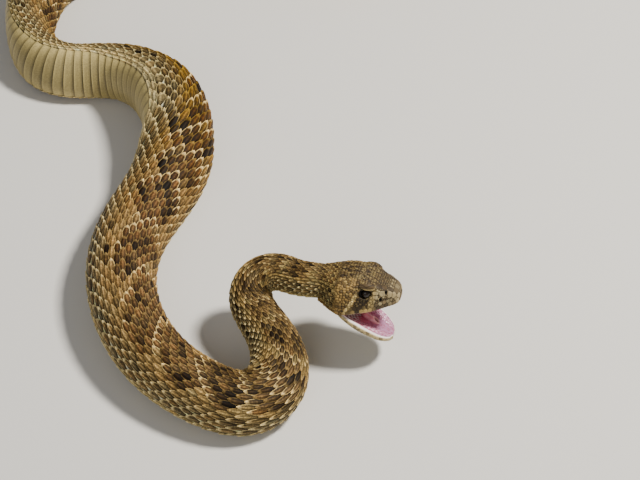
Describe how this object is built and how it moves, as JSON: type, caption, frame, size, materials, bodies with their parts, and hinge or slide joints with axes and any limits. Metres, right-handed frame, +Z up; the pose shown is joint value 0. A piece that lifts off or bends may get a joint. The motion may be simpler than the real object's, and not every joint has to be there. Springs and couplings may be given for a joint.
{
  "type": "western diamondback rattlesnake",
  "caption": "Life-size still model of a western diamondback rattlesnake lying in loose bends, neck raised, mouth open and rattle held up.",
  "frame": {"origin": "on the ground, at the middle of the animal's footprint", "axes": "+Z up, +X the way the head points, +Y from the head's end of the body to the tail's"},
  "size_m": [0.297, 0.5057, 0.1325],
  "materials": {
    "scaled_skin": "dry keeled scales with a brown diamond pattern, cream belly plates",
    "mouth_lining": "moist pink lining",
    "eye_surface": "glossy clear eye scale over a golden brown iris",
    "rattle_horn": "dry tan horn"
  },
  "bodies": {
    "root": {"head": "scaled_skin", "lower_jaw": "mouth_lining", "eye_left": "eye_surface", "eye_right": "eye_surface", "neck_1": "scaled_skin", "neck_2": "scaled_skin", "neck_3": "scaled_skin", "body_01": "scaled_skin", "body_02": "scaled_skin", "body_03": "scaled_skin", "body_04": "scaled_skin", "body_05": "scaled_skin", "body_06": "scaled_skin", "body_07": "scaled_skin", "body_08": "scaled_skin", "body_09": "scaled_skin", "body_10": "scaled_skin", "body_11": "scaled_skin", "body_12": "scaled_skin", "body_13": "scaled_skin", "tail": "scaled_skin", "rattle": "rattle_horn"}
  },
  "joints": []
}
